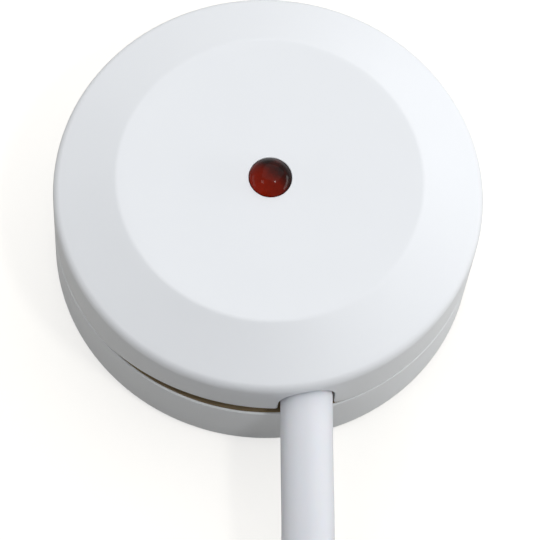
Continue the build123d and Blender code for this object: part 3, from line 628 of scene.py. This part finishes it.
def addWorld(settings):
    # even fill light, and plain white where the camera, a gloss or a clear piece looks past the table
    world = bpy.data.worlds.new("studio")
    world.use_nodes = True
    tree = world.node_tree
    fill = tree.nodes["Background"]
    fill.inputs["Color"].default_value = linearColour(settings["worldColour"])
    fill.inputs["Strength"].default_value = settings["worldStrength"]
    white = addNode(tree, "ShaderNodeBackground",
                    {"Color": linearColour(settings["worldColour"]), "Strength": 1.0})
    ray = addNode(tree, "ShaderNodeLightPath")
    seen = addNode(tree, "ShaderNodeMath", {"operation": "MAXIMUM"},
                   {0: ray.outputs["Is Camera Ray"], 1: ray.outputs["Is Glossy Ray"]})
    seen = addNode(tree, "ShaderNodeMath", {"operation": "MAXIMUM"},
                   {0: seen.outputs[0], 1: ray.outputs["Is Transmission Ray"]})
    mixed = addNode(tree, "ShaderNodeMixShader", None,
                    {0: seen.outputs[0], 1: fill.outputs[0], 2: white.outputs[0]})
    tree.links.new(mixed.outputs[0], tree.nodes["World Output"].inputs["Surface"])
    bpy.context.scene.world = world


addFloor(stage)
for lampName, lampSettings in stage["lamps"].items():
    addLamp(lampName, *lampSettings)
addWorld(stage)
bpy.context.scene.view_settings.view_transform = "Standard"
print("table, lamps and world set")


cover = {
    "rimRound": 0.12,
    "innerRound": 0.08,
    "notchHalf": cable["radius"] + 0.15,  # the cable's clearance in the notch
    "notchCorner": 0.25,
    "frontHalfAngle": 50.0,
    "columnGap": 0.12,
    "sideGap": 0.1,
    "fanHalf": 3.3,
    "fanMargin": 0.5,
    "keepX": (2.6, 4.6),  # columns stop keeping their x from the first to the second distance off the cable
    "holeRadius": 1.5,
    "holeRound": 0.06,
    "collarRadius": 2.3,
    "collarBottom": 8.9,
    "collarRound": 0.08,
    "collarFillet": 0.15,
    "ceilingFillet": 0.4,
    # the heights where the top's rows give way to the wall's, outside and inside, and meet in the lamp hole
    "joinHeight": 10.0,
    "innerJoin": 10.2,
    "holeJoin": (10.5, 10.4),
}


def wallRadius(z):
    # outside of the wall: straight, then in by radius - sqrt(radius^2 - above^2) over the rim's fillet
    turn = math.pi / 2 - math.atan(case["bevelDrop"] / case["bevelWidth"])
    foot = case["top"] - case["bevelDrop"] - case["rimFillet"] * math.tan(turn / 2)
    above = np.clip(z - foot, 0, case["rimFillet"])
    return case["radius"] - case["rimFillet"] + np.sqrt(case["rimFillet"] ** 2 - above**2)


def innerShape():
    # The ceiling lies under the bevel and the face at the roof's thickness, which is roof * hypot(1, slope)
    # straight down. Gives the slope, its height at the wall and its radius at the flat ceiling.
    slope = case["bevelDrop"] / case["bevelWidth"]
    drop = case["roof"] * math.hypot(1, slope)
    face = case["radius"] - case["bevelWidth"]
    shoulder = case["top"] - drop - slope * (case["radius"] - case["wall"] - face)
    return slope, shoulder, face - (drop - case["roof"]) / slope


def innerRadius(z):
    # inside of the wall, then along the sloping ceiling: wall's radius - (z - shoulder) / slope
    slope, shoulder, _ = innerShape()
    return case["radius"] - case["wall"] - np.clip(z - shoulder, 0, None) / slope


def gapRise(r, angle):
    # A slanting cut under the edge: its height is slope * (r cos(angle from the gap's middle) - chord)
    chord = case["radius"] * math.cos(math.radians(case["pryHalfAngle"]))
    slope = case["pryHeight"] / (case["radius"] - chord)
    return np.clip(slope * (r * np.cos(angle - math.radians(case["pryAngle"])) - chord), 0, None)


def edgeOutline(settings):
    # The lower edge across the front: from the left through the notch's outline (a straight side, a half
    # circle, a straight side) to the right, as x and z of each column. Beside the notch x = r sin(angle).
    x0, half, low, mid = case["cableX"], settings["notchHalf"], case["coverEdge"], case["cableZ"]
    r, corner, reach = case["radius"], settings["notchCorner"], settings["frontHalfAngle"]
    beside = half + corner + settings["columnGap"]
    left = r * np.sin(np.radians(np.linspace(-reach, 0, 56)))
    left = left[left < x0 - beside]
    right = r * np.sin(np.radians(np.linspace(20, reach, 26)))
    right = right[right > x0 + beside]
    bend = np.radians(np.linspace(0, 90, 7))
    side = np.linspace(low + corner + settings["sideGap"], mid - settings["sideGap"], 6)
    arch = np.radians(np.linspace(180, 0, 41))
    x = np.concatenate([
        left, x0 - half - corner + corner * np.sin(bend), 0 * side + x0 - half, x0 + half * np.cos(arch),
        0 * side + x0 + half, x0 + half + corner - corner * np.sin(bend[::-1]), right,
    ])
    z = np.concatenate([
        0 * left + low, low + corner - corner * np.cos(bend), side, mid + half * np.sin(arch),
        side[::-1], low + corner - corner * np.cos(bend[::-1]), 0 * right + low,
    ])
    return x, z


def edgeColumns(settings):
    # Each column of the cover starts at an angle on the top and ends at a point (x, z) of the lower edge.
    # There (nx, nz) = (dz, -dx) / size points out of the wall. The notch's many columns draw together to
    # 2 fanHalf on the top, in proportion to the outline's length. The columns round the back are plain
    # angles.
    x, z = edgeOutline(settings)
    dx, dz = np.gradient(x), np.gradient(z)
    size = np.hypot(dx, dz)
    length = np.concatenate([[0], np.cumsum(np.hypot(np.diff(x), np.diff(z)))])
    nearNotch = np.abs(x - case["cableX"]) < settings["notchHalf"] + settings["fanMargin"]
    inNotch = (z > case["coverEdge"] + 1e-6) | nearNotch
    first, last = np.argmax(inNotch), len(x) - 1 - np.argmax(inNotch[::-1])
    anchors = np.array([length[0], length[first], length[last], length[-1]])
    fan = [x[0], case["cableX"] - settings["fanHalf"], case["cableX"] + settings["fanHalf"], x[-1]]
    frontTop = np.arcsin(np.interp(length, anchors, fan) / case["radius"])
    backTop = np.linspace(frontTop[-1], frontTop[0] + 2 * math.pi, 90)[1:-1]
    none = 0 * backTop
    columns = {
        "x": np.concatenate([x, none]),
        "z": np.concatenate([z, none + case["coverEdge"]]),
        "nx": np.concatenate([dz / size, none]),
        "nz": np.concatenate([-dx / size, none - 1]),
        "topAngle": np.concatenate([frontTop, backTop]),
        "isBack": np.concatenate([0 * x, none + 1]) > 0,
    }
    away = np.abs(columns["x"] - case["cableX"])
    columns["keepX"] = np.where(columns["isBack"], 0, 1 - blend(away, *settings["keepX"]))
    return columns


def edgeRing(columns, drawn, r):
    # One row round the lower edge: the outline's points drawn back by drawn along their normals, at radius r.
    # Near the notch a column keeps its x through the wall, angle = asin(x / r), and elsewhere its angle. The
    # pry gap lifts the edge, less and less up to the cable's height.
    px, pz = columns["x"] - columns["nx"] * drawn, columns["z"] - columns["nz"] * drawn
    outside = np.arcsin(np.clip(px / case["radius"], -1, 1))
    through = np.arcsin(np.clip(px / r, -1, 1))
    front = outside + (through - outside) * columns["keepX"]
    angle = np.where(columns["isBack"], columns["topAngle"], front)
    fade = np.clip((case["cableZ"] - pz) / (case["cableZ"] - case["coverEdge"]), 0, 1)
    return angle, pz + gapRise(r, angle) * fade


def outerRows(settings, columns):
    # The top's outline, turned, down to joinHeight. Then the wall, at radius = wallRadius(z):
    # row = top point + share * (edge point - top point). The edge is rounded by rows drawn back by
    # round * (1 - sin a) and in by round * (1 - cos a).
    top, rimRound = columns["topAngle"], settings["rimRound"]
    outline = roundedOutline([
        (settings["holeRadius"], settings["holeJoin"][0], 0),
        (settings["holeRadius"], case["top"], settings["holeRound"]),
        (case["radius"] - case["bevelWidth"], case["top"], case["faceFillet"]),
        (case["radius"], case["top"] - case["bevelDrop"], case["rimFillet"]),
        (case["radius"], case["coverEdge"], 0),
    ], step=4.0)
    outline = outline[outline[:, 1] > settings["joinHeight"] + 0.01]
    rows = [(0 * top + r, top, 0 * top + height) for r, height in outline]
    edgeAngle, edgeHeight = edgeRing(columns, rimRound, case["radius"])
    for share in (0, .02, .04, .06, .08, .1, .12, .16, .25, .4, .55, .7, .85, .95, 1):
        height = settings["joinHeight"] + share * (edgeHeight - settings["joinHeight"])
        rows.append((wallRadius(height), top + share * (edgeAngle - top), height))
    for a in np.radians([22.5, 45, 67.5, 90]):
        r = case["radius"] - rimRound * (1 - math.cos(a))
        angle, height = edgeRing(columns, rimRound * (1 - math.sin(a)), r)
        rows.append((wallRadius(height) - case["radius"] + r, angle, height))
    return rows


def innerRows(settings, columns):
    # Through the wall under the edge, round its inner corner, up the inside of the wall in the same way as
    # down its outside, and then the ceiling's and the lamp collar's outline, turned.
    top, rimRound, innerRound = columns["topAngle"], settings["rimRound"], settings["innerRound"]
    inner = innerRadius(columns["z"])
    rows = []
    for share in (.15, .3, .45, .6, .75, .9, 1):
        r = case["radius"] - rimRound + share * (inner + innerRound - case["radius"] + rimRound)
        rows.append((r, *edgeRing(columns, 0, r)))
    for a in np.radians([30, 60, 90]):
        drawn = innerRound * (1 - math.cos(a))
        r = innerRadius(columns["z"] - columns["nz"] * drawn) + innerRound * (1 - math.sin(a))
        rows.append((r, *edgeRing(columns, drawn, r)))
    _, innerAngle, innerHeight = rows[-1]
    for share in (.15, .3, .45, .6, .75, .9, 1):
        height = innerHeight + share * (settings["innerJoin"] - innerHeight)
        rows.append((innerRadius(height), innerAngle + share * (top - innerAngle), height))
    _, _, ceilingEnd = innerShape()
    ceiling = case["top"] - case["roof"]
    outline = roundedOutline([
        (innerRadius(settings["innerJoin"]) - 0.05, settings["innerJoin"] + 0.02, 0),
        (ceilingEnd, ceiling, settings["ceilingFillet"]),
        (settings["collarRadius"], ceiling, settings["collarFillet"]),
        (settings["collarRadius"], settings["collarBottom"], settings["collarRound"]),
        (settings["holeRadius"], settings["collarBottom"], settings["collarRound"]),
        (settings["holeRadius"], settings["holeJoin"][1], 0),
    ])
    return rows + [(0 * top + r, top, 0 * top + height) for r, height in outline]


def coverGrid(settings):
    # Rows run out over the top, down the wall, round the edge, up the inside and down the lamp's collar, and
    # close on themselves: x = r sin(angle), y = -r cos(angle).
    columns = edgeColumns(settings)
    rows = outerRows(settings, columns) + innerRows(settings, columns)
    r, angle, height = (np.array(part) for part in zip(*rows))
    return [(np.stack([r * np.sin(angle), -r * np.cos(angle), height], -1), True, True)]


makePiece("topCover", coverGrid(cover), "white_abs", "cover", ("top_cover",))


base = {
    "bottom": 0.2,
    "recessRadius": 12.7,
    "recessTop": 0.6,
    "footFillet": 0.5,
    "seamFillet": 0.12,
    "lipOuter": 13.7,
    "lipInner": 12.7,
    "lipTop": 7.7,
    "lipChamfer": 0.2,
    "rootTop": 5.0,
    "rootBottom": 4.3,
    "innerRadius": 13.4,
    "innerFillet": 0.3,
    "floorFillet": 0.2,
    "floor": 1.7,
    "edge": 0.06,
    "scoop": cable["radius"] + 0.1,  # the cable's clearance in the groove
    "scoopMargin": 0.02,
    "frontX": (-5.5, 10.5),  # columns lie closer together between these
    "columnGap": 0.25,
    "keepX": (2.2, 4.6),  # columns stop keeping their x from the first to the second distance off the cable
    "keepRadius": 12.0,
    "screwCircle": 10.2,
    "screwAngles": (-50.0, 60.0, 200.0),
    "bossRadius": 1.8,
    "bossTop": 4.0,
    "bossRoot": 0.1,  # how much wider and lower than the floor a boss starts
    "pilotRadius": 0.87,
    "pilotBottom": 1.75,
    "ribCount": 6,
    "ribRadius": 0.3,
    "ribCentre": 13.48,
    "ribTop": 7.3,
    "ribRound": 0.15,
    "ribRoot": 0.05,
}


def shellGrid(settings):
    # The shell's outline goes round the Z axis with its poles on the axis. Near the cable its columns keep
    # their x, angle = asin(x / r), and every height there is held under the scoop:
    # z = cable's height - sqrt(scoop^2 - (x - cable's x)^2).
    e, s = settings["edge"], settings
    outline = roundedOutline([
        (0, s["recessTop"], 0),
        (s["recessRadius"], s["recessTop"], e),
        (s["recessRadius"], s["bottom"], e),
        (case["radius"], s["bottom"], s["footFillet"]),
        (case["radius"], case["seam"], s["seamFillet"]),
        (s["lipOuter"], case["seam"], 0),
        (s["lipOuter"], s["lipTop"] - s["lipChamfer"], e),
        (s["lipOuter"] - s["lipChamfer"], s["lipTop"], e),
        (s["lipInner"], s["lipTop"], e),
        (s["lipInner"], s["rootTop"], s["innerFillet"]),
        (s["innerRadius"], s["rootBottom"], s["innerFillet"]),
        (s["innerRadius"], s["floor"], s["floorFillet"]),
        (0, s["floor"], 0),
    ])
    x0, scoop, beside = case["cableX"], s["scoop"], s["scoop"] + s["scoopMargin"]
    turn = np.radians(np.linspace(-90, 90, 31))
    near = np.concatenate([[x0 - beside], x0 + scoop * np.sin(turn), [x0 + beside]])
    left = np.linspace(s["frontX"][0], near[0] - s["columnGap"], 14)
    right = np.linspace(near[-1] + s["columnGap"], s["frontX"][1], 14)
    front = np.arcsin(np.concatenate([left, near, right]) / case["radius"])
    back = np.linspace(front[-1], front[0] + 2 * math.pi, 130)[1:-1]
    outer = np.concatenate([front, back])
    keepX = 1 - blend(np.abs(case["radius"] * np.sin(outer) - x0), *s["keepX"])
    keepX = np.where(np.arange(len(outer)) < len(front), keepX, 0)
    r = outline[:, 0, None]
    kept = np.arcsin(np.clip(case["radius"] * np.sin(outer) / np.maximum(r, s["keepRadius"]), -1, 1))
    angle = outer + (kept - outer) * keepX
    x, y = r * np.sin(angle), -r * np.cos(angle)
    under = case["cableZ"] - np.sqrt(np.clip(scoop**2 - (x - x0) ** 2, 0, None))
    held = (np.abs(x - x0) < scoop + 1e-6) & (y < 0) & (r > s["keepRadius"])
    z = np.where(held, np.minimum(outline[:, 1, None], under), outline[:, 1, None])
    return np.stack([x, y, z], -1)


def bossGrids(settings):
    # a boss with a pilot hole under each screw: its outline, turned, at the screw circle's (sin, cos)
    s = settings
    outline = roundedOutline([
        (0, s["floor"] - s["bossRoot"], 0),
        (s["bossRadius"] + s["bossRoot"], s["floor"] - s["bossRoot"], 0),
        (s["bossRadius"], s["bossTop"], s["edge"]), (s["pilotRadius"], s["bossTop"], 0),
        (s["pilotRadius"], s["pilotBottom"], 0), (0, s["pilotBottom"], 0),
    ])
    turned = revolve(outline, fullTurn(48))
    angles = np.radians(s["screwAngles"])
    return [turned + s["screwCircle"] * np.array([math.sin(a), math.cos(a), 0]) for a in angles]


def ribGrids(settings):
    # the small grip ribs on the lip, evenly round it: angle = 2 pi (k + 0.5) / count
    s = settings
    outline = roundedOutline([
        (0, case["seam"] - s["ribRoot"], 0), (s["ribRadius"], case["seam"] - s["ribRoot"], 0),
        (s["ribRadius"], s["ribTop"], s["ribRound"]), (0, s["ribTop"], 0),
    ])
    turned = revolve(outline, fullTurn(24))
    angles = 2 * math.pi * (np.arange(s["ribCount"]) + 0.5) / s["ribCount"]
    return [turned + s["ribCentre"] * np.array([math.cos(a), math.sin(a), 0]) for a in angles]


baseGrids = [(grid, False, True) for grid in (shellGrid(base), *bossGrids(base), *ribGrids(base))]
makePiece("baseShell", baseGrids, "white_abs", "base", ("base_shell",))


gasket = {"inner": 13.81, "outer": 14.85, "lowRound": 0.02, "highRound": 0.07, "openHalf": 1.23}


def gasketGrid(settings):
    # A rounded strip carried round the seam between the two shells, angle from asin((cable's x + half) / r)
    # on, open where the cable crosses and with its two ends closed to a point in their middle.
    s = settings
    section = roundedOutline([
        (s["inner"], case["seam"], s["lowRound"]), (s["outer"], case["seam"], s["lowRound"]),
        (s["outer"], case["coverEdge"], s["highRound"]), (s["inner"], case["coverEdge"], s["highRound"]),
    ], closed=True)
    middle = (s["inner"] + s["outer"]) / 2
    start = math.asin((case["cableX"] + s["openHalf"]) / middle)
    end = math.asin((case["cableX"] - s["openHalf"]) / middle) + 2 * math.pi
    strip = revolve(section, np.linspace(start, end, 200)).transpose(1, 0, 2)
    ends = [np.repeat(strip[k].mean(0)[None, None], strip.shape[1], 1) for k in (0, -1)]
    return [(np.concatenate([ends[0], strip, ends[1]]), False, True)]


makePiece("seamGasket", gasketGrid(gasket), "gasket", "base", ("seam_gasket",))


pad = {"radius": 12.5, "thickness": base["recessTop"], "round": 0.2, "skinRound": 0.04, "bulge": 0.05}


def padGrid(settings):
    # a disc whose foam edge bulges between its two skins: an outline (r, z), turned
    skin, full, t = settings["radius"] - settings["bulge"], settings["radius"], settings["thickness"]
    outline = roundedOutline([
        (0, 0, 0), (skin, 0, settings["skinRound"]), (full, t / 2, settings["round"]),
        (skin, t, settings["skinRound"]), (0, t, 0),
    ])
    return [(revolve(outline, fullTurn(160)), False, True)]


makePiece("mountingPad", padGrid(pad), "foam_tape", "base", ("mounting_pad",))


lens = {
    "radius": 1.45,
    "flangeRadius": 1.9,
    "flangeHeight": 1.0,
    "flatX": -1.7,
    "bottom": 7.6,
    "proud": 0.8,  # the tip over the cover's face
    "edge": 0.06,
    "root": 0.1,
}


def lensGrid(settings):
    # Flange, straight wall up to the cover's face, and there a ball's cap: R = (wall^2 + rise^2) / (2 rise),
    # r = R cos(a), z = tip - R + R sin(a), from cos(a) = wall / R on. The flange is cut flat at one side,
    # x = max(x, flat).
    s = settings
    flangeTop, rise = s["bottom"] + s["flangeHeight"], s["proud"]
    ball = (s["radius"] ** 2 + rise**2) / (2 * rise)
    wall = roundedOutline([
        (0, s["bottom"], 0), (s["flangeRadius"], s["bottom"], s["edge"]),
        (s["flangeRadius"], flangeTop, s["edge"]), (s["radius"], flangeTop, s["root"]),
        (s["radius"], case["top"], 0),
    ])
    a = np.linspace(math.acos(s["radius"] / ball), math.pi / 2, 25)[1:, None]
    dome = np.concatenate([ball * np.cos(a), case["top"] + rise - ball + ball * np.sin(a)], 1)
    grid = revolve(np.concatenate([wall, dome]), fullTurn(96))
    grid[..., 0] = np.maximum(grid[..., 0], s["flatX"])
    return [(grid, False, True)]


makePiece("lampLens", lensGrid(lens), "red_epoxy", "base", ("lamp_body",))


sheath = {"bore": 1.38, "start": -14.0, "end": -8.4, "socket": 1.8, "round": 0.1}


def sheathGrid(settings):
    # outline (r, distance) turned about the cable's line along Y, hollow where the cores come out
    s, outer, root = settings, cable["radius"], settings["end"] - settings["socket"]
    outline = roundedOutline([
        (0, s["start"], 0), (outer, s["start"], 0), (outer, s["end"], s["round"]),
        (s["bore"], s["end"], s["round"]), (s["bore"], root, 0), (0, root, 0),
    ])
    turned = revolve(outline, fullTurn(48))
    grid = np.stack([case["cableX"] + turned[..., 0], turned[..., 2], case["cableZ"] + turned[..., 1]], -1)
    return [(grid, False, True)]


makePiece("cableInlet", sheathGrid(sheath), "white_pvc", "base", ("cable_inlet",))


# the nodes that are shown as they were drawn, each with its finish
keptNodes = {
    "piezo_bond": "epoxy_bond",
    "piezo_plate": "brass_sheet",
    "piezo_ceramic": "silvered_ceramic",
    "circuit_board": "board_laminate",
    "board_screws": "plated_screw",
    "lamp_legs": "tinned_metal",
    "lamp_die": "lamp_chip",
    "lamp_spacer": "white_nylon",
    "solder_joints": "solder",
    "core_strands": "tinned_metal",
    "cable_tie": "white_nylon",
    "tail_tips": "tinned_metal",
    "signal_chip": "black_resin",
    "signal_chip_pins": "tinned_metal",
    "alarm_relay": "white_resin",
    "alarm_relay_pins": "tinned_metal",
    "bridge_rectifier": "black_resin",
    "bridge_rectifier_pins": "tinned_metal",
    "transistor": "black_resin",
    "transistor_pins": "tinned_metal",
    "tantalum_capacitor_bodies": "yellow_resin",
    "tantalum_capacitor_ends": "tinned_metal",
    "ceramic_capacitor_bodies": "tan_ceramic",
    "ceramic_capacitor_ends": "tinned_metal",
    "resistor_bodies": "resistor_glaze",
    "resistor_ends": "tinned_metal",
    "piezo_wire_red": "red_pvc",
    "piezo_wire_black": "black_pvc",
    "core_red": "red_pvc",
    "core_yellow": "yellow_pvc",
    "core_blue": "blue_pvc",
    "core_black": "black_pvc",
}


def dressNode(name, slotName):
    # The node's own mesh stays as it is. Its loose triangles are joined and its sharp edges kept by two
    # modifiers, so that round faces shade round.
    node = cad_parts[name]
    node.data.materials.clear()
    node.data.materials.append(finishes[slotName])
    node.data.polygons.foreach_set("material_index", np.zeros(len(node.data.polygons), np.int32))
    node.data.shade_smooth()
    weld = node.modifiers.new("joined", "WELD")
    weld.merge_threshold = joining["nodeDistance"] * mm
    split = node.modifiers.new("sharpEdges", "EDGE_SPLIT")
    split.split_angle = math.radians(joining["nodeSharpAngle"])


for nodeName, nodeSlot in keptNodes.items():
    dressNode(nodeName, nodeSlot)
print("nodes dressed:", len(keptNodes))
